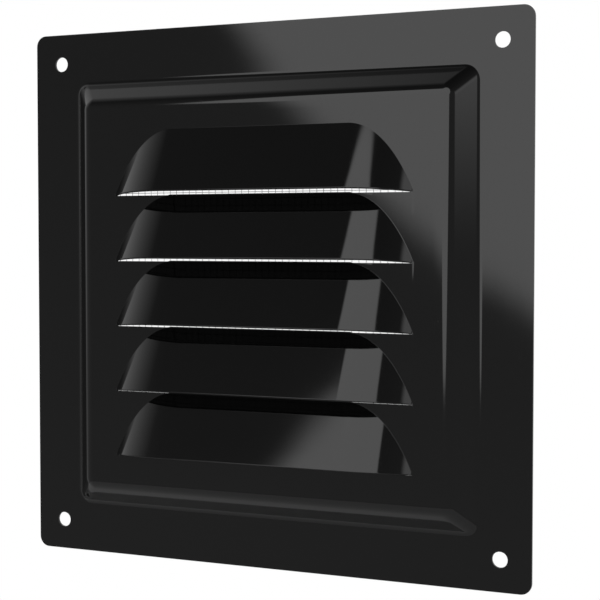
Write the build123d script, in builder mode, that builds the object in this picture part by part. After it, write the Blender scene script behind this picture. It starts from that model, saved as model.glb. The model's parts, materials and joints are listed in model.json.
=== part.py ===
from build123d import *
from math import asin, atan2, cos, degrees, hypot, radians, sin, tan
import os

# A square wall grille pressed from one sheet of painted steel: a flat flange with four screw
# holes, a raised panel with a sloped border, and a stack of hoods lanced and pushed out of the
# panel. A woven insect screen lies on the back of the panel, bonded there by a bead of adhesive.
# Frame: +X right, +Z up, the room in front is -Y. The origin is the centre of the four screw
# holes, on the back of the flange, which is the face that meets the wall.

# Sheet, plate and screw holes
sheet = 0.7
plate_side = 150.0
plate_corner = 3.0
hole_inset = 8.5
hole_diameter = 4.2

# Sloped border of the raised panel, its slope measured from the flange
flange_width = 14.5
panel_rise = 6.0
border_slope = 45.0
crown_round = 4.5
root_round = 2.3

# Hoods: each is a flat-topped arch at its lip that runs up and back to nothing at its root
hood_count = 5
hood_side_margin = 9.65
hood_top_margin = 8.15
hood_bottom_margin = 9.15
hood_shoulder = 18.45
lip_depth = 7.6
lip_lift = 0.9

# Land between the root of a hood and the slot above it, raised in the middle of the slot
land = 0.25
land_rise = 0.2
land_reach = 1.1

# Insect screen, as a coarse net in one wall: a flat hem, square gaps, and wires as ridges
screen_margin = 3.0
screen_wall = 0.3
net_columns = 11
net_rows = 10
wire_width = 0.9
wire_ridge = 0.25

# Adhesive bead, lapping the hem of the screen and seated on the panel beside it
bead_lap = 1.8
bead_seat = 2.0
bead_height = 1.3
bead_bevel = 0.8

# Depths in front of the wall
panel_back = panel_rise
panel_front = panel_rise + sheet

# Sizes that follow from the plate, from the outside in
hole_spacing = plate_side - 2 * hole_inset
border_side = plate_side - 2 * flange_width
border_run = panel_rise / tan(radians(border_slope))
panel_side = border_side - 2 * border_run
hood_width = panel_side - 2 * hood_side_margin
hood_flat = hood_width - 2 * hood_shoulder
stack_height = panel_side - hood_top_margin - hood_bottom_margin
stack_middle = (hood_bottom_margin - hood_top_margin) / 2

# The lances, where the slots are cut, from the lowest up
hood_pitch = (stack_height + land - land_rise) / hood_count
hood_height = hood_pitch + land_rise - land
lances = [stack_middle - stack_height / 2 + hood_pitch * i for i in range(hood_count)]

# The lip lies in a plane through the lance, tilted up by lip_lift over lip_depth.
# From there the hood climbs back to the panel, where its root is hood_height above the lance.
lip_tilt = atan2(lip_lift, lip_depth)
lip_reach = hypot(lip_depth, lip_lift)
climb = Vector(0, lip_depth, hood_height - lip_lift)
hood_slope = atan2(lip_depth, hood_height - lip_lift)
lip_wall = sheet / cos(hood_slope - lip_tilt)
lance_drop = sheet * tan(lip_tilt)
lip_plane = Plane(
    origin=(0, -panel_front, 0),
    x_dir=(1, 0, 0),
    z_dir=(0, -sin(lip_tilt), -cos(lip_tilt)),
)

# Each end of the lip is one arc, level where it leaves the flat and down at the panel's face
end_radius = (hood_shoulder**2 + lip_reach**2) / (2 * lip_reach)
end_centre = lip_reach - end_radius

# The screen and its bead
screen_width = hood_width + 2 * screen_margin
screen_height = stack_height + 2 * screen_margin


def pressed_form(back, front, foot, crown, root):
    """A flat slab from back to front, with the sloped panel standing on its front."""
    with BuildPart() as form:
        with BuildSketch(Plane.XZ.offset(back)):
            RectangleRounded(plate_side, plate_side, plate_corner)
        extrude(amount=front - back)
        with Locations(Plane(origin=(0, -front, 0), x_dir=(1, 0, 0), z_dir=(0, 0, -1))):
            Wedge(
                *(foot, panel_rise, foot, border_run, border_run, foot - border_run, foot - border_run),
                align=(Align.CENTER, Align.MIN, Align.CENTER),
            )
        # The four crown edges and the four slanted ones above the foot
        fillet(form.edges(Select.LAST).sort_by(Axis.Y)[:8], crown)
        flange_front = form.faces().filter_by(lambda face: face.inner_wires())[0]
        fillet(flange_front.inner_wires()[0].edges(), root)
    return form.part


def hood_form(inset, floor):
    """One hood swept from its lip up and back, its outline inset by a wall and closed at floor."""
    radius = end_radius - inset
    crest = lip_reach - inset
    rise = degrees(asin((floor - end_centre) / radius))
    foot = hood_flat / 2 + radius * cos(radians(rise))
    with BuildPart() as form:
        with BuildSketch(lip_plane):
            with BuildLine():
                Line((0, crest), (hood_flat / 2, crest))
                CenterArc((hood_flat / 2, end_centre), radius, rise, 90 - rise)
                Line((foot, floor), (0, floor))
                mirror(about=Plane.YZ)
            make_face()
        extrude(amount=climb.length + 2 * sheet, dir=climb.normalized())
        split(bisect_by=Plane.XZ.offset(panel_front + floor), keep=Keep.TOP)
    return form.part


# The inner form is the outer one moved in by the sheet, so that every wall has the same thickness
outer_form = pressed_form(0, sheet, border_side, crown_round, root_round)
inner_form = pressed_form(
    -sheet,
    0,
    border_side - 2 * sheet * tan(radians(border_slope / 2)),
    crown_round - sheet,
    root_round + sheet,
)
hood_outside = hood_form(0, -sheet / 2)
hood_inside = hood_form(lip_wall, -2 * sheet)

with BuildPart() as face_plate:
    add(outer_form)
    with Locations(*[(0, 0, lance) for lance in lances]):
        add(hood_outside)
    add(inner_form, mode=Mode.SUBTRACT)
    with Locations(*[(0, 0, lance) for lance in lances]):
        add(hood_inside, mode=Mode.SUBTRACT)
    # Every slot but the lowest has the root of a hood below it, and there its edge is raised
    with Locations(*[(0, -panel_front, lance + land_rise) for lance in lances[1:]]):
        Box(
            hood_flat + 2 * land_reach,
            sheet,
            land_rise + lance_drop,
            align=(Align.CENTER, Align.MIN, Align.MAX),
        )
    with Locations(Plane.XZ.offset(sheet)):
        with GridLocations(hole_spacing, hole_spacing, 2, 2):
            Hole(hole_diameter / 2, depth=sheet)
face_plate.part.label = "face_plate"

with BuildPart() as insect_screen:
    with BuildSketch(Plane.XZ.offset(panel_back)):
        with Locations((0, stack_middle)):
            Rectangle(screen_width, screen_height)
            Rectangle(hood_width, stack_height, mode=Mode.SUBTRACT)
            with GridLocations(hood_width / net_columns, 1, net_columns - 1, 1):
                Rectangle(wire_width, stack_height)
            with GridLocations(1, stack_height / net_rows, 1, net_rows - 1):
                Rectangle(hood_width, wire_width)
    extrude(amount=-screen_wall)
    # The upright wires stand proud of the level ones
    with BuildSketch(Plane.XZ.offset(panel_back - screen_wall)):
        with Locations((0, stack_middle)):
            with GridLocations(hood_width / net_columns, 1, net_columns - 1, 1):
                Rectangle(wire_width / 2, stack_height)
    extrude(amount=-wire_ridge)
insect_screen.part.label = "insect_screen"

with BuildPart() as glue_bead:
    with BuildSketch(Plane.XZ.offset(panel_back)) as bead_outline:
        with Locations((0, stack_middle)):
            Rectangle(screen_width + 2 * bead_seat, screen_height + 2 * bead_seat)
            chamfer(bead_outline.vertices(), bead_seat)
            Rectangle(screen_width - 2 * bead_lap, screen_height - 2 * bead_lap, mode=Mode.SUBTRACT)
    extrude(amount=-bead_height)
    chamfer(glue_bead.faces().sort_by(Axis.Y)[-1].edges(), bead_bevel)
    add(insect_screen.part, mode=Mode.SUBTRACT)
glue_bead.part.label = "glue_bead"

os.makedirs("parts", exist_ok=True)
for piece in (face_plate, insect_screen, glue_bead):
    export_step(piece.part, f"parts/{piece.part.label}.step")
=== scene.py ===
# %% [markdown]
# # A pressed steel ventilation grille in black gloss enamel
#
# A grille like this is one square of thin steel, stamped in a press. The press raises a panel
# with a sloped border, cuts five slots in it, and pushes the metal above each slot out into a
# hood that throws rain and light away from the opening. The sheet is then dipped in black
# enamel. A fine wire cloth is glued over the back to keep insects out.
#
# The solids come from the CAD frame, in metres, with +X right, +Z up and the room at -Y. This
# file works each piece out again inside its solid's box, with the detail that the eye expects:
# the pressed plate with its rolled edges, the cloth wire by wire, and the bead as a hand lays
# it. Then it gives each its finish. First come the camera and the room that the gloss shows.

# %% The frame
import json
import math

import bmesh
import bpy
import numpy as np
from mathutils import Matrix, Vector


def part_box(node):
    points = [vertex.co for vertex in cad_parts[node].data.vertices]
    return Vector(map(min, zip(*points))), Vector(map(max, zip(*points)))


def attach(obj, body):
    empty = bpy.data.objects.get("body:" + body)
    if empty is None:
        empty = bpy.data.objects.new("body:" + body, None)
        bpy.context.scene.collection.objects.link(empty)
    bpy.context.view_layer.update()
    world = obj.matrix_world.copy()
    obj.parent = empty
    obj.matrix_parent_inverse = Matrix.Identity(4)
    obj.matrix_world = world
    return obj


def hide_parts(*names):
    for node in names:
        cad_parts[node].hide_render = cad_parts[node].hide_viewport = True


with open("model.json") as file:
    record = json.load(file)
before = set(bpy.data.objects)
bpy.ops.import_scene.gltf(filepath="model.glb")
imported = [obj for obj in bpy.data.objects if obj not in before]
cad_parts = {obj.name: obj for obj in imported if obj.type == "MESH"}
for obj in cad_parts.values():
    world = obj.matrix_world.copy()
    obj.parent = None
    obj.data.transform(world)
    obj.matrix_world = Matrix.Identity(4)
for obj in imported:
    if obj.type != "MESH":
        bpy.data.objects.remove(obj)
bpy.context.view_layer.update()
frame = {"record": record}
millimetre = 0.001

# %% [markdown]
# ## The camera
#
# The photograph was taken from the right of the grille and a little above it, from less than
# half a metre away. At that distance the near side is drawn clearly larger than the far side,
# so the distance matters as much as the angle. The camera could be placed by its coordinates.
# Here it is set by the azimuth and elevation of its place seen from the grille, the distance
# along its line of sight, and how far the middle of the flange's front lies off that line,
# because each of these can be judged in the photograph by itself.

# %% Camera
camera_azimuth = math.radians(24.856)
camera_elevation = math.radians(2.391)
camera_distance = 409.5 * millimetre
grille_left_of_axis = 8.99 * millimetre
grille_above_axis = 0.785 * millimetre
flange_front = 0.7 * millimetre
sight_point = Vector((0, -flange_front, 0))
picture_width = 600
focal_length_in_pixels = 1495.0
sensor_width = 36.0

backward = Vector((
    math.sin(camera_azimuth) * math.cos(camera_elevation),
    -math.cos(camera_azimuth) * math.cos(camera_elevation),
    math.sin(camera_elevation),
))
rightward = Vector((0, 0, 1)).cross(backward).normalized()
upward = backward.cross(rightward)
camera_place = (
    sight_point
    + backward * camera_distance
    + rightward * grille_left_of_axis
    - upward * grille_above_axis
)

camera = bpy.data.objects.new("camera", bpy.data.cameras.new("camera"))
camera.data.sensor_width = sensor_width
camera.data.lens = focal_length_in_pixels * sensor_width / picture_width
camera.data.clip_start = 10 * millimetre
turned = Matrix((rightward, upward, backward)).transposed().to_4x4()
camera.matrix_world = Matrix.Translation(camera_place) @ turned
bpy.context.scene.collection.objects.link(camera)
bpy.context.scene.camera = camera
bpy.context.scene.view_settings.view_transform = "Standard"
print("camera at", [round(part, 4) for part in camera_place], "lens", round(camera.data.lens, 2))

# %% [markdown]
# ## Node helpers
#
# Shaders are small graphs of nodes. A few helpers keep them readable: one makes a node, fills in
# its inputs and wires whatever is given as a socket, and the others do one kind of step with it.


# %% Node helpers
def place_node(tree, kind, inputs=None, **settings):
    """One shader node with its settings, and its inputs set to values or wired to sockets."""
    node = tree.nodes.new("ShaderNode" + kind)
    for name, value in settings.items():
        setattr(node, name, value)
    for name, value in (inputs or {}).items():
        if isinstance(value, bpy.types.NodeSocket):
            tree.links.new(value, node.inputs[name])
        else:
            node.inputs[name].default_value = value
    return node


def reckon(tree, operation, first, second=0.0):
    """The result socket of one arithmetic step on sockets or numbers."""
    return place_node(tree, "Math", {0: first, 1: second}, operation=operation).outputs[0]


def slide(tree, value, start, stop, low=0.0, high=1.0, curve="SMOOTHSTEP"):
    """A socket that goes from low to high while value goes from start to stop, and no further."""
    limits = {"Value": value, "From Min": start, "From Max": stop, "To Min": low, "To Max": high}
    return place_node(tree, "MapRange", limits, interpolation_type=curve).outputs["Result"]


def blend_colours(tree, share, first, second):
    """A colour socket that goes from the first colour to the second as the share goes to 1."""
    inputs = {"Factor": share, "A": first, "B": second}
    return place_node(tree, "Mix", inputs, data_type="RGBA").outputs["Result"]


# %% [markdown]
# ## The room
#
# Black gloss has almost no colour of its own: what is seen on it is the room in front, at about
# a twentieth of its brightness. So the room is built with care, as a painting on the world that
# depends only on the direction. Its walls are a grey that darkens upwards, with a pale patch
# high on the far left and the faint light of a doorway below it. Two soft boxes stand in it: a
# large round one before the grille and above it, and one far to the right. Beside the grille the
# room turns dark, and behind it stands white paper. That paper is also what the camera sees all
# round the grille.
#
# Directions are given as azimuth and elevation, with azimuth 0 straight in front of the grille
# and positive to the right.

# %% Directions in the room
def toward(azimuth, elevation):
    """The unit vector of a direction: the sine and cosine of the azimuth lie along X and -Y."""
    azimuth, elevation = math.radians(azimuth), math.radians(elevation)
    level = math.cos(elevation)
    return (math.sin(azimuth) * level, -math.cos(azimuth) * level, math.sin(elevation))


world = bpy.data.worlds.new("studio_room")
bpy.context.scene.world = world
world.use_nodes = True
room = world.node_tree
room.nodes.clear()
gaze = place_node(room, "TexCoord").outputs["Generated"]
gaze_parts = place_node(room, "SeparateXYZ", {0: gaze})
print("straight in front of the grille is", toward(0, 0))


def degrees_from(azimuth, elevation):
    """The angle in degrees between the direction looked at and a given one."""
    centre = toward(azimuth, elevation)
    cosine = place_node(room, "VectorMath", {0: gaze, 1: centre}, operation="DOT_PRODUCT")
    angle = reckon(room, "ARCCOSINE", cosine.outputs["Value"])
    return reckon(room, "DEGREES", angle)


def past_upright_edge(azimuth):
    """How far the direction looked at lies to the right of an upright edge, as a sine."""
    inputs = {0: gaze, 1: toward(azimuth + 90, 0)}
    return place_node(room, "VectorMath", inputs, operation="DOT_PRODUCT").outputs["Value"]


def overlap(*shares):
    """The product of shares from 0 to 1, which is a shape where all of them are."""
    product = shares[0]
    for share in shares[1:]:
        product = reckon(room, "MULTIPLY", product, share)
    return product


# %% Walls of the room
height = reckon(room, "DEGREES", reckon(room, "ARCSINE", gaze_parts.outputs["Z"]))
grey_by_elevation = {
    -90: 0.47,
    -55: 0.43,
    -40: 0.33,
    -25: 0.3,
    -12: 0.325,
    -4: 0.295,
    6: 0.265,
    20: 0.24,
    32: 0.18,
    45: 0.13,
    90: 0.05,
}
wall_grey = place_node(room, "ValToRGB", {0: slide(room, height, -90, 90, curve="LINEAR")})
stops = wall_grey.color_ramp.elements
while len(stops) < len(grey_by_elevation):
    stops.new(0.5)
for stop, (elevation, grey) in zip(stops, grey_by_elevation.items()):
    stop.position = (elevation + 90) / 180
    stop.color = (grey, grey, grey, 1)
pale_wall = slide(room, degrees_from(-105.5, 36), 12, 43.5, low=0.73, high=0, curve="LINEAR")
doorway = overlap(
    slide(room, past_upright_edge(-78), 0.04, -0.1),
    slide(room, height, -5, 0, low=0.08, high=0.15),
    slide(room, height, 14, 4),
)
walls = reckon(room, "ADD", reckon(room, "ADD", wall_grey.outputs[0], pale_wall), doorway)
print("walls with", len(grey_by_elevation), "greys, from the floor up")

# %% [markdown]
# ## Soft boxes and paper
#
# A light could be a lamp or a glowing panel in the scene. Here each is a shape painted on the
# room, because then its edge can be as soft as the real one's. The round box isn't quite round:
# it is three discs laid over each other, the third only in its upper part, and it is cut off
# flat below and on the left. The side box is an upright panel.

# %% Round box and side box
box_radius = 28.5
rim_blur = 0.8


def box_disc(azimuth, elevation):
    """One disc of the round box, which fades over its rim."""
    angle = degrees_from(azimuth, elevation)
    return slide(room, angle, box_radius + rim_blur, box_radius - rim_blur)


upper_disc = overlap(box_disc(-1.7, 21.9), slide(room, height, 15, 30))
main_discs = reckon(room, "MAXIMUM", box_disc(-1.3, 21.9), box_disc(-0.34, 22.14))
round_box = overlap(
    reckon(room, "MAXIMUM", main_discs, upper_disc),
    slide(room, height, -6.6, -5.0),
    slide(room, past_upright_edge(-31), -0.014, 0.014),
)
side_box = overlap(
    slide(room, past_upright_edge(61.4), -0.055, 0.055),
    slide(room, past_upright_edge(108), 0.1, 0),
    slide(room, height, -1.2, 8.3),
)
print("round box of", 2 * box_radius, "degrees across")

# %% [markdown]
# ## The room put together
#
# The walls come first, and then each light is laid over what is there already. The camera sees
# plain paper in every direction. So do mirror rays, and rays through something clear, where
# they go to the back.

# %% The room put together
round_box_light = 1.88
side_box_light = 1.23
paper_light = 1.0
dark_side = 0.04


def cover(under, over, share):
    """Lays one brightness over another by a share from 0 to 1."""
    blend = place_node(room, "Mix", {"Factor": share, "A": under, "B": over}, data_type="FLOAT")
    return blend.outputs["Result"]


beside = slide(room, gaze_parts.outputs["Y"], 0.2, 0.38)
paper = slide(room, gaze_parts.outputs["Y"], 0.6, 0.7)
lit_room = cover(walls, dark_side, beside)
lit_room = cover(lit_room, round_box_light, round_box)
lit_room = cover(lit_room, side_box_light, side_box)
lit_room = cover(lit_room, paper_light, paper)

rays = place_node(room, "LightPath").outputs
sharp_ray = reckon(room, "MAXIMUM", rays["Is Glossy Ray"], rays["Is Transmission Ray"])
sees_paper = reckon(room, "MAXIMUM", rays["Is Camera Ray"], overlap(sharp_ray, paper))
room_light = cover(lit_room, paper_light, sees_paper)
background = place_node(room, "Background", {"Color": (1, 1, 1, 1), "Strength": room_light})
place_node(room, "OutputWorld", {"Surface": background.outputs[0]})
print("room built with", len(room.nodes), "nodes")

# %% [markdown]
# ## Mesh and material helpers
#
# Every surface below is a grid of points that a formula gives, so the points are worked out as
# whole arrays and one helper joins a grid's neighbours to faces. The other two make an object of
# them and start a material.


# %% Mesh and material helpers
def grid_faces(rows, columns, row_loop=False, column_loop=False):
    """Quads over a grid of points numbered row by row, joined end to end where a way loops."""
    row = np.arange(rows if row_loop else rows - 1)[:, None]
    column = np.arange(columns if column_loop else columns - 1)[None, :]
    next_row = (row + 1) % rows
    next_column = (column + 1) % columns
    corners = (
        row * columns + column,
        next_row * columns + column,
        next_row * columns + next_column,
        row * columns + next_column,
    )
    return np.stack(corners, axis=-1).reshape(-1, 4)


def make_surface(name, points, faces):
    """A smooth mesh object from an array of points in metres and an array of faces."""
    mesh = bpy.data.meshes.new(name)
    mesh.from_pydata(points.reshape(-1, 3), [], faces.tolist())
    mesh.shade_smooth()
    made = bpy.data.objects.new(name, mesh)
    bpy.context.scene.collection.objects.link(made)
    print(name, "has", len(mesh.vertices), "points and", len(mesh.polygons), "faces")
    return made


def start_material(name):
    """An empty material with a Principled shader wired to its output, and its tree."""
    material = bpy.data.materials.new(name)
    material.use_nodes = True
    material.node_tree.nodes.clear()
    shader = place_node(material.node_tree, "BsdfPrincipled")
    place_node(material.node_tree, "OutputMaterial", {"Surface": shader.outputs[0]})
    return material, material.node_tree, shader


# %% [markdown]
# ## The floor
#
# The grille is shown as it hangs on a wall, well above a pale floor. The floor keeps the soft
# shadow of the grille, and only for the camera it gets a little light of its own, so that it
# runs into the white paper without a line.

# %% Floor
floor_drop = 0.5
floor_radius = 0.9
floor_rings = 12
floor_spokes = 97


def disc_points(radius, height, rings, spokes):
    """A flat disc, rings x spokes: x and y are a ring's radius times a spoke's cosine and sine."""
    ring = np.linspace(0, radius, rings)[:, None]
    turn = np.linspace(0, 2 * np.pi, spokes)
    return np.stack(np.broadcast_arrays(ring * np.cos(turn), ring * np.sin(turn), height), axis=-1)


floor = make_surface(
    "floor",
    disc_points(floor_radius, -floor_drop, floor_rings, floor_spokes),
    grid_faces(floor_rings, floor_spokes),
)
floor_paint, tree, shader = start_material("pale_floor")
shader.inputs["Base Color"].default_value = (0.8, 0.8, 0.8, 1)
shader.inputs["Roughness"].default_value = 0.8
for_the_camera = place_node(tree, "LightPath").outputs["Is Camera Ray"]
own_light = place_node(tree, "Emission", {"Strength": for_the_camera})
both = place_node(tree, "AddShader", {0: shader.outputs[0], 1: own_light.outputs[0]})
tree.links.new(both.outputs[0], tree.nodes["Material Output"].inputs["Surface"])
floor.data.materials.append(floor_paint)

# %% [markdown]
# ## The pressed plate
#
# On the real grille the flange, the border, the panel and the hoods are one sheet of steel. The
# CAD solid has the right form, but this enamel is a mirror: it shows every facet of a mesh, and
# it shows that the paint has rounded each edge and filled each inner corner a little. Such a
# form could be sculpted or cut with booleans. Here it is worked out, because a sheet is simply
# two skins at a set distance: the front skin is a few functions of two parameters, the back skin
# is the same functions with every radius moved by the sheet's thickness, and rolled edges join
# the two along the outline, the slots and the screw holes.
#
# Points are in millimetres as across, up and height, where height is the distance in front of
# the wall. A skin is a set of grids of points: the border, the panel with its hoods, and the
# flange. Neighbouring grids share the points of their common line, so they can be sewn together.

# %% Sizes of the plate
plate_low, plate_high = (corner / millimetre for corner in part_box("face_plate"))
screw_holes = frame["record"]["mounts"][0]["dims"]
half_plate = plate_high.x
hole_radius = screw_holes["hole_r_mm"]
hole_place = screw_holes["spacing_x_mm"] / 2
sheet = 0.7
plate_corner = 3.0
flange_width = 14.5
panel_rise = 6.0
panel_front = panel_rise + sheet
border_slope = math.radians(45)
crown_round = 4.5
root_round = 2.3
edge_round = 0.08

half_foot = half_plate - flange_width
border_run = panel_rise / math.tan(border_slope)
half_panel = half_foot - border_run
half_middle = half_panel - crown_round * math.tan(border_slope / 2)
print("the panel is flat inside a square of", round(2 * half_middle, 2), "mm")


# %% Rows down the border
def turned_to_side(outward, onward, height, quarter):
    """Points given outward and onward from the middle of a side, turned by quarters to it."""
    turn = quarter * np.pi / 2
    across = outward * np.cos(turn) - onward * np.sin(turn)
    up = outward * np.sin(turn) + onward * np.cos(turn)
    return np.stack(np.broadcast_arrays(across, up, height), axis=-1)


def border_rows(share, swing, quarter, crown, root, drop, steps=10):
    """The sloped border as rows x places round it, from the panel's flat to the flange's flat.

    The border is rounded by a ball of the crown's radius that rolls inside its top edges and down
    its slanted corners, and by a ball of the root's radius that rolls round its foot. Each place
    has a swing, the compass angle in which both balls touch it: zero along a side, and up to a
    quarter turn at a corner. There the contact tilts less, to the angle whose tangent is the
    slope's over the sum of the swing's sine and cosine. Each ball gives an arc in the upright
    plane of the swing, and the straight slope lies between the two arcs.
    """
    tilt = np.arctan(math.tan(border_slope) / (np.cos(swing) + np.sin(swing)))
    both = crown + root
    run = (panel_rise - both * (1 - np.cos(tilt))) / math.tan(border_slope)
    crown_lean = tilt * np.linspace(0, 1, steps + 1)[:, None]
    root_lean = tilt * np.linspace(1, 0, steps + 1)[:, None]
    reach = np.concatenate([
        crown * np.sin(crown_lean),
        both * np.sin(tilt) - root * np.sin(root_lean),
    ])
    moved = np.concatenate([np.zeros_like(crown_lean), np.broadcast_to(run, root_lean.shape)])
    outward = half_middle + moved + reach * np.cos(swing)
    onward = share * (half_middle + moved) + reach * np.sin(swing)
    height = np.concatenate([
        panel_front - crown * (1 - np.cos(crown_lean)),
        sheet + root * (1 - np.cos(root_lean)),
    ])
    return turned_to_side(outward, onward, height - drop, quarter)


# %% [markdown]
# ## The hoods
#
# The press cuts the sheet along a straight line, the lance, and pushes the metal above the cut
# out into a hood. A hood is a shallow arch that leans: its lip is a flat top with an arc at each
# end, and from there every line of it runs straight up and back to the panel. So a strip of the
# panel, from one lip up to the slot above, is a set of columns. Going up a column there is the
# leaning line, a small hollow round where it meets the panel, and the flat land below the next
# slot. The paint that gathers in that hollow is what draws the thin pale line round each hood.
#
# The lips are cut square to the sheet. That takes a tenth of a millimetre off their depth, so
# the hoods are bent out by that much more and stand as far out as the solid's.

# %% Sizes of the hoods
hood_count = 5
side_margin = 9.65
bottom_margin = 9.15
top_margin = 8.15
hood_shoulder = 18.45
depth_cut_off = 0.1
lip_depth = -plate_low.y - panel_front + depth_cut_off
lip_lift = 0.9
lip_round = 0.25
root_fill = 0.12
round_out = 1.0
land = 0.25
land_rise = 0.2
land_reach = 1.1
land_end = 0.6
slot_round = 0.05

half_flat = half_panel - side_margin - hood_shoulder
stack_low = bottom_margin - half_panel
stack_high = half_panel - top_margin
hood_pitch = (stack_high - stack_low + land - land_rise) / hood_count
hood_height = hood_pitch + land_rise - land
lances = stack_low + hood_pitch * np.arange(hood_count)
lean = lip_depth / (hood_height - lip_lift)
lip_tilt = math.atan2(lip_lift, lip_depth)
lip_reach = math.hypot(lip_depth, lip_lift)
slant = math.atan(lean)
lip_wall = sheet / math.cos(slant - lip_tilt)
square_cut = lip_wall * math.sin(slant - lip_tilt)
end_radius = (hood_shoulder**2 + lip_reach**2) / (2 * lip_reach)
end_centre = lip_reach - end_radius
print("slots at", np.round(lances, 2), "mm, each end an arc of radius", round(end_radius, 2), "mm")


# %% Columns across a hood
# Shares of the way from a hood to the next edge. The first is small, so that the smooth shading
# of the steep hood ends close to it and leaves the flat panel flat.
away_from_hood = np.array([0.03, 0.35, 0.67, 1])
flat_steps = 5


def hood_columns(inset, floor, steps=30):
    """Places across the panel, the lip's reach at each along its tilted plane, and its steepness.

    The reach is level over the flat top, follows an arc down to the floor at each end, and stays
    at the floor outside the hood. The steepness is the tangent of the arc's angle.
    """
    radius = end_radius - inset
    ground = floor / math.cos(lip_tilt)
    angle = np.linspace(0, math.acos((ground - end_centre) / radius), steps + 1)
    foot = half_flat + radius * math.sin(angle[-1])
    middle = np.linspace(0, half_flat, flat_steps + 1)[:-1]
    margin = foot + (half_middle - foot) * away_from_hood
    across = np.concatenate([middle, half_flat + radius * np.sin(angle), margin])
    arch = end_centre + radius * np.cos(np.concatenate([0 * middle, angle]))
    reach = np.concatenate([arch, np.full_like(margin, ground)])
    steep = np.concatenate([0 * middle, np.tan(angle), 0 * margin])
    left_half = [-across[:0:-1], reach[:0:-1], steep[:0:-1]]
    return np.concatenate([left_half, [across, reach, steep]], axis=1)


def fading(reach, floor):
    """A share that falls to nothing at the tips of a hood, where its rounds run out."""
    return np.clip((reach - floor / math.cos(lip_tilt)) / round_out, 0, 1)


print("a strip of the panel has", hood_columns(0, 0).shape[1], "columns")


# %% Rows up a strip of the panel
strip_steps = 4
hollow_steps = 6


def panel_strip(lance, slot_above, inset, floor, fill, cut):
    """One hood and the land above it as rows x columns, from the lip up to the slot above.

    Up a column, height falls by the lean. The sheet was cut square before it was bent, so the
    outer corner of the lip lies higher up the hood than the inner one: by the cut in the middle,
    and by the cut times the cosine of the arc's angle at the ends. The hollow round is an arc
    tangent to the panel and to the hood, across the root line. The root line runs at an angle
    there, so lengths across it grow by the root of one plus its steepness squared when they are
    measured up the column.
    """
    across, reach, steep = hood_columns(inset, floor)
    fade = fading(reach, floor)
    lip_up = lance + reach * math.sin(lip_tilt)
    lip_height = reach * math.cos(lip_tilt)

    def down_the_hood(way):
        """Up and height at a way up the hood from the lip, measured along the slant."""
        return lip_up + way * math.cos(slant), lip_height - way * math.sin(slant)

    corner = cut * fade / np.hypot(1, steep)
    corner_up, corner_height = down_the_hood(corner)
    edge_up, edge_height = down_the_hood(corner + lip_round * fade)

    root_up = lip_up + (lip_height - floor) / lean
    stretch = np.hypot(1, steep * (math.sin(lip_tilt) + math.cos(lip_tilt) / lean))
    slope = np.arctan(lean * stretch)
    turn = slope * np.linspace(1, 0, hollow_steps + 1)[:, None]
    hollow_up = root_up - fill * fade * (np.sin(turn) - np.tan(slope / 2)) * stretch
    hollow_height = floor + fill * fade * (1 - np.cos(turn))

    share = np.linspace(0, 1, strip_steps + 1)[:-1, None]
    line_up = edge_up + share * (hollow_up[0] - edge_up)
    line_height = edge_height + share * (hollow_height[0] - edge_height)
    land_up = hollow_up[-1] + away_from_hood[:, None] * (slot_above - hollow_up[-1])
    land_height = np.full_like(land_up, floor)
    up = np.concatenate([line_up, hollow_up, land_up])
    height = panel_front + np.concatenate([line_height, hollow_height, land_height])
    lip = np.stack([across, corner_up, panel_front + corner_height], axis=-1)
    return np.stack(np.broadcast_arrays(across, up, height), axis=-1), lip


# %% Floor of a slot
def slot_floor(lance, inset, floor, raised):
    """The lower edge of a slot: its sharp corner across the panel, and the row just below it.

    In the middle the edge stands up to the land's rise, and at both ends it falls by what the
    tilt of the lip's plane gives over the sheet.
    """
    across, reach, steep = hood_columns(inset, floor)
    low = lance + floor * math.tan(lip_tilt)
    inside = half_flat + land_reach + land_end / 2 - np.abs(across)
    bump = np.clip(inside / land_end, 0, 1) * raised
    corner = low + bump * (lance + land_rise - low)
    rows = (corner, corner - slot_round * fading(reach, floor))
    return [
        np.stack(np.broadcast_arrays(across, up, panel_front + floor), axis=-1) for up in rows
    ]


# %% [markdown]
# ## Rolled edges
#
# Enamel draws back from a sharp edge and leaves it rounded. Where a skin ends, it stops a little
# before the edge, and a wall with two small rounds takes over and leads to the other skin. A
# Bevel modifier keeps one width all along, but here the rounds run out to nothing at the tips of
# a slot, so they are worked out too. The same function serves the plate's outline, the screw
# holes, the lips and the floors of the slots.


# %% Rolled edge
def rolled_edge(front_row, front_corner, back_corner, back_row, steps=4):
    """A wall from the front skin to the back one as steps x places, rounded where it meets each.

    A round is a quadratic curve with the sharp corner as its middle control point, so it leaves
    along the skin and arrives along the wall, as far from the corner as it left.
    """
    way = np.linspace(0, 1, steps + 1)[:, None, None]

    def round_over(row, corner, far_corner):
        """The round between a skin's last row and the wall, as steps x places."""
        size = np.linalg.norm(row - corner, axis=-1, keepdims=True)
        wall = (far_corner - corner) / np.linalg.norm(far_corner - corner, axis=-1, keepdims=True)
        return row * (1 - way) ** 2 + corner * 2 * way * (1 - way) + (corner + wall * size) * way**2

    front = round_over(front_row, front_corner, back_corner)
    back = round_over(back_row, back_corner, front_corner)
    return np.concatenate([front, back[::-1]])


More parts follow.
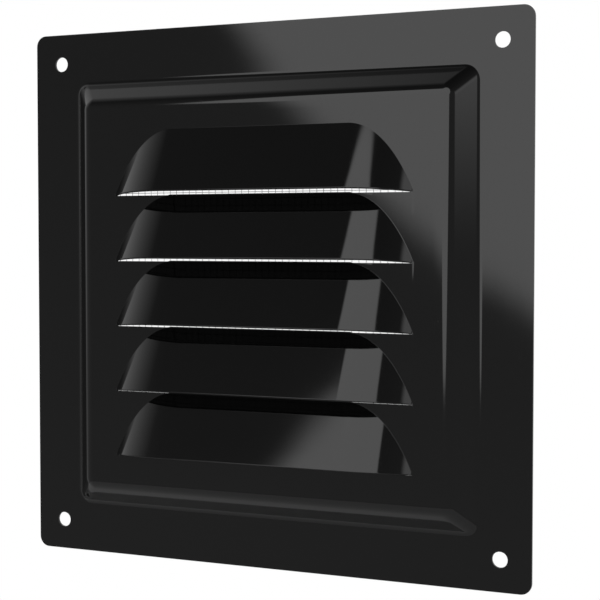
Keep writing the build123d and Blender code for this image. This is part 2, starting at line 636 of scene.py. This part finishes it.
# %% The panel, skin by skin
def panel_skin(inset, floor, fill, cut):
    """The strips of one skin, its lips, and the corner and the row of each slot's floor."""
    floors = [slot_floor(lance, inset, floor, raised=i > 0) for i, lance in enumerate(lances)]
    lowest = floors[0][1]
    tops = [row[:, 1] for corner, row in floors[1:]]
    tops.append(np.full(len(lowest), half_middle))
    made = [
        panel_strip(lance, top, inset, floor, fill, cut) for lance, top in zip(lances, tops)
    ]
    strips, lips = zip(*made)

    # Below the lowest slot, rows lead down to the panel's edge, the closest ones at the slot
    share = np.concatenate([[0], 1 - away_from_hood[-2::-1], [1]])[:, None]
    up = -half_middle + share * (lowest[:, 1] + half_middle)
    below = np.stack(np.broadcast_arrays(lowest[:, 0], up, lowest[:, 2]), axis=-1)
    return [below, *strips], lips, floors


front_strips, front_lips, front_floors = panel_skin(0, 0, root_fill, square_cut)
back_strips, back_lips, back_floors = panel_skin(lip_wall, -sheet, root_fill + sheet, 0)

# A patch is a grid of points, and whether its rows close into rings
patches = [(strip, False) for strip in front_strips + back_strips]

slot_columns = slice(away_from_hood.size, -away_from_hood.size)
for hood in range(hood_count):
    lip_edge = (
        front_strips[hood + 1][0],
        front_lips[hood],
        back_lips[hood],
        back_strips[hood + 1][0],
    )
    front_corner, front_row = front_floors[hood]
    back_corner, back_row = back_floors[hood]
    slot_edge = (front_row, front_corner, back_corner, back_row)
    for edge in (lip_edge, slot_edge):
        patches.append((rolled_edge(*(row[slot_columns] for row in edge)), False))
print("the panel and its slots are", len(patches), "grids")


# %% [markdown]
# ## The border and the flange
#
# The border stiffens the plate, and the flange takes the screws. The border is one ring of grid
# round the panel. It takes its places along each side from the panel's own edge, so their points
# meet, and it turns by a quarter at each corner. The flange has a straight piece on each side,
# and a piece at each corner that is drawn as rings round the screw hole, out to the border's
# foot on one side and to the plate's outline on the other. So the hole needs no boolean cut.

# %% Ring of the border and rings of a hole
corner_steps = 16
arc_steps = 8
line_steps = 5
flange_steps = 4
corner_turn = np.linspace(0, np.pi / 2, corner_steps + 1)
arc_turn = np.linspace(0, np.pi / 2, arc_steps + 1)[1:-1]

# Shares of the way from the edge of a screw hole out to the borders of its piece of flange
ring_shares = np.array([0, 0.15, 0.45, 1])


def border_ring(sides, crown, root, drop):
    """The border all the way round, as rows x places, each side followed by its corner."""
    turns = corner_turn[1:-1]
    share = np.concatenate([np.append(side, np.ones_like(turns)) for side in sides])
    swing = np.concatenate([np.append(0 * side, turns) for side in sides])
    quarter = np.repeat(np.arange(4), [side.size + turns.size for side in sides])
    return border_rows(share, swing, quarter, crown, root, drop)


def outline_corner(inset, straight):
    """One corner of the plate's outline: a straight piece, an arc, and a straight piece."""
    edge = np.full(line_steps + 1, half_plate - inset)
    centre = half_plate - plate_corner
    radius = plate_corner - inset
    line = np.linspace(straight, centre, line_steps + 1)
    outward = np.concatenate([edge, centre + radius * np.cos(arc_turn), line[::-1]])
    onward = np.concatenate([line, centre + radius * np.sin(arc_turn), edge])
    return outward, onward


def rings_round_hole(root_corner, straight):
    """The flange's corner as rings x places, from the screw hole's edge out to all its borders.

    A ring lies at a share of the way from the hole to the corner's own outline, which is the
    plate's corner, a cut to the border's foot, the foot itself, and a cut back.
    """
    rim = np.stack(outline_corner(edge_round, straight), axis=-1)
    step = np.linspace(0, 1, flange_steps + 1)[:, None]
    cut = rim[-1] + step * (root_corner[-1] - rim[-1])
    loop = np.concatenate([rim, cut[1:], root_corner[-2::-1], cut[-2:0:-1, ::-1]]) - hole_place
    far = np.hypot(*loop.T)
    hole_edge = hole_radius + edge_round
    reach = hole_edge + ring_shares[:, None] * (far - hole_edge)
    reach = np.concatenate([[np.full_like(far, hole_radius)], reach])
    return hole_place + reach[..., None] * loop / far[:, None]


# %% The border and the flange, skin by skin
def plate_outline(sides, inset, straight, height):
    """The closed row of points round the plate, at an inset from its edge."""
    row = []
    for number, side in enumerate(sides):
        row.append(turned_to_side(half_plate - inset, side * straight, height, number))
        row.append(turned_to_side(*outline_corner(inset, straight), height, number)[1:-1])
    return np.concatenate(row)


def frame_skin(strips, crown, root, drop):
    """The patches of one skin's border and flange, and its edges: the outline and the holes.

    Each edge starts with two rows: its sharp corner, and the last row of the skin.
    """
    across = strips[0][0, :, 0] / half_middle
    strip_ends = np.concatenate([strip[:, -1, 1] for strip in strips])
    up = np.unique(np.round(strip_ends, 6)) / half_middle
    sides = [up, across, -up[::-1], across]
    height = sheet - drop
    root_corner = border_rows(1.0, corner_turn, 0, crown, root, drop)[-1, :, :2]
    root_line, straight = root_corner[0]

    outward = np.linspace(root_line, half_plate - edge_round, flange_steps + 1)[:, None]
    made = []
    for number, side in enumerate(sides):
        made.append((turned_to_side(outward, side * straight, height, number), False))
    made.append((border_ring(sides, crown, root, drop), True))

    rings = rings_round_hole(root_corner, straight)
    holes = [turned_to_side(rings[..., 0], rings[..., 1], height, number) for number in range(4)]
    made += [(hole[1:], True) for hole in holes]
    outline = [plate_outline(sides, inset, straight, height) for inset in (0, edge_round)]
    return made, [outline, *holes]


front_patches, front_edges = frame_skin(front_strips, crown_round, root_round, 0)
back_patches, back_edges = frame_skin(
    back_strips, crown_round - sheet, root_round + sheet, sheet
)
patches += front_patches + back_patches
for front, back in zip(front_edges, back_edges):
    patches.append((rolled_edge(front[1], front[0], back[0], back[1]), True))
print("the whole plate is", len(patches), "grids")

# %% [markdown]
# ## Sewing the sheet together
#
# The real plate is one sheet, so its grids become one mesh: first all their quads side by side,
# and then the points that lie on top of each other are merged. If no edge is left open, the
# sheet is a closed body. The Weighted Normal modifier lets the large flat faces lead the smooth
# shading, so that they stay flat.

# %% Sewing
merge_distance = 0.001 * millimetre


def sew(name, patches):
    """One mesh of many grids: each grid gets its quads, then the points that meet are merged."""
    points = np.concatenate([grid.reshape(-1, 3) for grid, ring in patches]) * millimetre
    quads = [grid_faces(*grid.shape[:2], column_loop=ring) for grid, ring in patches]
    first = np.cumsum([0] + [grid[..., 0].size for grid, ring in patches])
    faces = np.concatenate([own + start for own, start in zip(quads, first)])
    across, up, height = points.T
    sewn = make_surface(name, np.stack([across, -height, up], axis=-1), faces)
    seams = bmesh.new()
    seams.from_mesh(sewn.data)
    bmesh.ops.remove_doubles(seams, verts=seams.verts, dist=merge_distance)
    bmesh.ops.recalc_face_normals(seams, faces=seams.faces)
    open_edges = sum(not edge.is_manifold for edge in seams.edges)
    seams.to_mesh(sewn.data)
    seams.free()
    print(name, "is sewn from", len(patches), "grids and has", open_edges, "open edges")
    return sewn


pressed_plate = sew("pressed_plate", patches)
pressed_plate.modifiers.new("flat_faces_lead", "WEIGHTED_NORMAL")
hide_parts("face_plate")
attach(pressed_plate, "root")

# %% [markdown]
# ## Uneven skin
#
# No skin of paint, oxide or rubber is quite even: it has fresher and duller patches. A texture
# could be painted, but soft noise on Object coordinates, which are real metres on the piece,
# gives them at any distance. All three finishes use this effect, so it is one node group, and
# each places it with its own scale, colours and roughness.

# %% Uneven skin
skin_inputs = {
    "Vector": "Vector",
    "Scale": "Float",
    "Detail": "Float",
    "Dull From": "Float",
    "Fresh Color": "Color",
    "Dull Color": "Color",
    "Fresh Roughness": "Float",
    "Dull Roughness": "Float",
}
skin_outputs = {"Color": "Color", "Roughness": "Float"}
noise_low = 0.3
noise_high = 0.7

uneven_skin = bpy.data.node_groups.new("uneven_skin", "ShaderNodeTree")
for in_out, sockets in (("INPUT", skin_inputs), ("OUTPUT", skin_outputs)):
    for name, kind in sockets.items():
        uneven_skin.interface.new_socket(name, in_out=in_out, socket_type="NodeSocket" + kind)
given = uneven_skin.nodes.new("NodeGroupInput").outputs
noise_inputs = {name: given[name] for name in ("Vector", "Scale", "Detail")}
clouds = place_node(uneven_skin, "TexNoise", noise_inputs).outputs[0]
dull = slide(uneven_skin, clouds, given["Dull From"], noise_high)
skin_colour = blend_colours(uneven_skin, dull, given["Fresh Color"], given["Dull Color"])
skin_roughness = slide(
    uneven_skin, clouds, noise_low, noise_high, given["Fresh Roughness"], given["Dull Roughness"]
)
results = uneven_skin.nodes.new("NodeGroupOutput").inputs
uneven_skin.links.new(skin_colour, results["Color"])
uneven_skin.links.new(skin_roughness, results["Roughness"])
print("uneven skin takes", list(skin_inputs))

# %% [markdown]
# ## Black enamel
#
# Stove enamel on steel is a thick, glassy paint. Its colour is a nearly pure black, and its top
# is smooth but not quite flat: it has the very slight ripple that painters call orange peel,
# and a few specks of dust lie under it. The ripple goes to the normal through a Bump node, and
# the specks to the colour and the roughness. The gloss itself drifts a little over the plate.

# %% Black enamel
enamel, tree, shader = start_material("black_enamel")
spot = place_node(tree, "TexCoord").outputs["Object"]
ripple = place_node(tree, "TexNoise", {"Vector": spot, "Scale": 350.0, "Detail": 2.0}).outputs[0]
dust = place_node(tree, "TexNoise", {"Vector": spot, "Scale": 2200.0, "Detail": 1.0}).outputs[0]
speck = slide(tree, dust, 0.72, 0.78)
speck_roughness = 0.1
film_inputs = {
    "Vector": spot,
    "Scale": 18.0,
    "Detail": 4.0,
    "Fresh Roughness": 0.04,
    "Dull Roughness": 0.06,
}
film = place_node(tree, "Group", film_inputs, node_tree=uneven_skin).outputs["Roughness"]
gloss = reckon(tree, "ADD", film, reckon(tree, "MULTIPLY", speck, speck_roughness))
black = blend_colours(tree, speck, (0.001, 0.001, 0.001, 1), (0.004, 0.004, 0.004, 1))
peel = place_node(tree, "Bump", {"Height": ripple, "Strength": 0.002, "Distance": 0.0002})
tree.links.new(black, shader.inputs["Base Color"])
tree.links.new(gloss, shader.inputs["Roughness"])
tree.links.new(peel.outputs[0], shader.inputs["Normal"])
pressed_plate.data.materials.append(enamel)
print("black_enamel is built with", len(tree.nodes), "nodes")

# %% [markdown]
# ## The wire cloth
#
# Insect cloth is a plain weave: every upright wire passes in turn before and behind the level
# ones, and its neighbours do the opposite. In the photograph the wires show as a fine comb in
# the slits under the hoods, two millimetres apart. A picture of a weave on a flat sheet would be
# light, but its wires would have no roundness to catch the light. So each wire is a round tube
# about a wavy centre line. All the wires of one direction are made together, as one array with
# an axis for the wires, one for the way along them, and one for the way round them.

# %% Wire cloth sizes
mesh_pitch = 2.0275 * millimetre
wire_thickness = 0.16 * millimetre
wire_sides = 6
steps_per_mesh = 2
upright_start = 0.96 * millimetre
level_start = 28.69 * millimetre
cloth_low, cloth_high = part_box("insect_screen")
weave_depth = cloth_low.y + wire_thickness


def wire_places(start, low, high):
    """Places one mesh apart, one of them at start, that keep every wire inside two limits."""
    first = math.ceil((low + wire_thickness - start) / mesh_pitch)
    last = math.floor((high - wire_thickness - start) / mesh_pitch)
    return start + mesh_pitch * np.arange(first, last + 1)


uprights = wire_places(upright_start, cloth_low.x, cloth_high.x)
levels = wire_places(level_start, cloth_low.z, cloth_high.z)
print(uprights.size, "upright and", levels.size, "level wires")


# %% Wavy wires
def woven_wires(places, crossings, low, high, first_side):
    """Points of parallel wavy tubes, as wires x steps x sides x (across, along, depth).

    The centre line's depth is a cosine of the way along, with half a wave from one crossing to
    the next and the opposite sign on the next wire. Its height is half a wire's thickness.
    """
    inner = np.arange(crossings[0], crossings[-1] + mesh_pitch / 4, mesh_pitch / steps_per_mesh)
    along = np.concatenate([[low], inner, [high]])
    turn = np.linspace(0, 2 * np.pi, wire_sides, endpoint=False)
    side = first_side * (-1.0) ** np.arange(places.size)
    wave = np.cos(np.pi * (along - crossings[0]) / mesh_pitch) * wire_thickness / 2
    across = places[:, None, None] + np.cos(turn) * wire_thickness / 2
    depth = weave_depth + (side[:, None] * wave)[:, :, None] + np.sin(turn) * wire_thickness / 2
    return np.stack(np.broadcast_arrays(across, along[:, None], depth), axis=-1)


def tube_faces(wires, steps):
    """Quads of many tubes whose points are numbered one tube after another.

    The ring of six points at each end is closed by two quads that share its middle line.
    """
    end = np.array([[0, 1, 2, 3], [0, 3, 4, 5]])
    far_end = (steps - 1) * wire_sides + end[:, ::-1]
    one_tube = np.concatenate([grid_faces(steps, wire_sides, column_loop=True), end, far_end])
    first_point = np.arange(wires) * steps * wire_sides
    return (first_point[:, None, None] + one_tube).reshape(-1, 4)


upright_points = woven_wires(uprights, levels, cloth_low.z, cloth_high.z, 1)[..., [0, 2, 1]]
level_points = woven_wires(levels, uprights, cloth_low.x, cloth_high.x, -1)[..., [1, 2, 0]]
upright_faces = tube_faces(uprights.size, upright_points.shape[1])[:, ::-1]
level_faces = tube_faces(levels.size, level_points.shape[1])
upright_count = upright_points.size // 3
insect_cloth = make_surface(
    "insect_cloth",
    np.concatenate([upright_points.reshape(-1, 3), level_points.reshape(-1, 3)]),
    np.concatenate([upright_faces, level_faces + upright_count]),
)
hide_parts("insect_screen")
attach(insect_cloth, "root")

# %% [markdown]
# ## Drawn wire
#
# The wire is plain aluminium. Drawing it through a die leaves fine scratches, and the air gives
# it a thin, dull skin of oxide. Scratches on so thin a wire are too small to draw one by one, so
# it is a metal with a middling roughness, a little darker in patches.

# %% Drawn wire
wire_metal, tree, shader = start_material("drawn_wire")
oxide_inputs = {
    "Vector": place_node(tree, "TexCoord").outputs["Object"],
    "Scale": 260.0,
    "Detail": 3.0,
    "Dull From": 0.35,
    "Fresh Color": (0.72, 0.73, 0.74, 1),
    "Dull Color": (0.56, 0.56, 0.55, 1),
    "Fresh Roughness": 0.34,
    "Dull Roughness": 0.55,
}
oxide = place_node(tree, "Group", oxide_inputs, node_tree=uneven_skin).outputs
tree.links.new(oxide["Color"], shader.inputs["Base Color"])
tree.links.new(oxide["Roughness"], shader.inputs["Roughness"])
shader.inputs["Metallic"].default_value = 1.0
insect_cloth.data.materials.append(wire_metal)
print("drawn_wire is built with", len(tree.nodes), "nodes")

# %% [markdown]
# ## The bead of glue
#
# The cloth is held by one bead of sealant, laid by hand from a nozzle, half on the edge of the
# cloth and half on the steel beside it. It runs round in one go, thickens a little where the
# hand slows down, and flows round the corners. A bevelled curve could draw it, but its width and
# its height would always swell together. So it is worked out as a half-round profile carried
# along a rounded rectangle, with a slow wave in its width and another in its height.

# %% Bead path
bead_low, bead_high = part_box("glue_bead")
bead_width = 3.8 * millimetre
bead_corner = 2.4 * millimetre
bead_steps = 640
slow_wave = 0.04
quick_wave = 0.02


def round_the_edge(half_width, half_height, radius, steps):
    """Places round a rectangle with rounded corners, the outward direction at each, and its share.

    The outward direction stands still along a side and turns by a quarter along an arc. Each
    step goes at right angles to it, and a place is the sum of the steps up to there.
    """
    sides = 2 * (np.array([half_height, half_width] * 2) - radius)
    stretches = np.stack([sides, np.full(4, radius * np.pi / 2)], axis=1).ravel()
    marks = np.concatenate([[0], np.cumsum(stretches)])
    share = (np.arange(steps) + 0.5) / steps
    turn = np.interp(share * marks[-1], marks, np.repeat(np.arange(5), 2)[:-1] * np.pi / 2)
    outward = np.stack([np.cos(turn), np.sin(turn)], axis=-1)
    onward = np.stack([-np.sin(turn), np.cos(turn)], axis=-1)
    place = np.cumsum(onward, axis=0) * marks[-1] / steps
    return place - (place.max(axis=0) + place.min(axis=0)) / 2, outward, share


def hand_wave(share, slow_waves, quick_waves):
    """One plus two small sines of the way round, so that a size breathes a little."""
    turn = 2 * np.pi * share
    return 1 + slow_wave * np.sin(slow_waves * turn) + quick_wave * np.sin(quick_waves * turn + 1)


# %% Bead surface
# The profile is a half sine raised to a power under one, which makes it fuller than a sine
profile_points = 12
profile_fullness = 0.8
crest_share = 0.95
bead_middle = (bead_low + bead_high) / 2
bead_half = (bead_high - bead_low) / 2
path, outward, share = round_the_edge(
    bead_half.x - bead_width / 2, bead_half.z - bead_width / 2, bead_corner, bead_steps
)
half_turn = np.linspace(0, np.pi, profile_points)
bead_reach = -np.cos(half_turn) * hand_wave(share, 7, 23)[:, None] * bead_width / 2
bead_crest = crest_share * 2 * bead_half.y * hand_wave(share, 5, 19)[:, None]
bead_points = np.stack([
    bead_middle.x + path[:, :1] + outward[:, :1] * bead_reach,
    bead_low.y + np.sin(half_turn) ** profile_fullness * bead_crest,
    bead_middle.z + path[:, 1:] + outward[:, 1:] * bead_reach,
], axis=-1)
hand_laid_bead = make_surface(
    "hand_laid_bead",
    bead_points,
    grid_faces(bead_steps, profile_points, row_loop=True, column_loop=True),
)
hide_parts("glue_bead")
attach(hand_laid_bead, "root")

# %% [markdown]
# ## Cured sealant
#
# The sealant is a grey rubber with a satin skin. As it cures it shrinks over the wires and
# traps a little dust, so the skin is finely pitted and its grey is not quite even. The small
# cells of a Voronoi pattern give the pits through a Bump node, because their round hollows look
# more like pits than soft noise does.

# %% Cured sealant
sealant, tree, shader = start_material("cured_sealant")
spot = place_node(tree, "TexCoord").outputs["Object"]
rubber_inputs = {
    "Vector": spot,
    "Scale": 160.0,
    "Detail": 4.0,
    "Dull From": 0.3,
    "Fresh Color": (0.36, 0.36, 0.35, 1),
    "Dull Color": (0.28, 0.28, 0.27, 1),
    "Fresh Roughness": 0.38,
    "Dull Roughness": 0.55,
}
rubber = place_node(tree, "Group", rubber_inputs, node_tree=uneven_skin).outputs
pits = place_node(tree, "TexVoronoi", {"Vector": spot, "Scale": 1400.0}).outputs["Distance"]
pitted = place_node(tree, "Bump", {"Height": pits, "Strength": 0.25, "Distance": 0.0001})
tree.links.new(rubber["Color"], shader.inputs["Base Color"])
tree.links.new(rubber["Roughness"], shader.inputs["Roughness"])
tree.links.new(pitted.outputs[0], shader.inputs["Normal"])
hand_laid_bead.data.materials.append(sealant)
print("cured_sealant is built with", len(tree.nodes), "nodes")
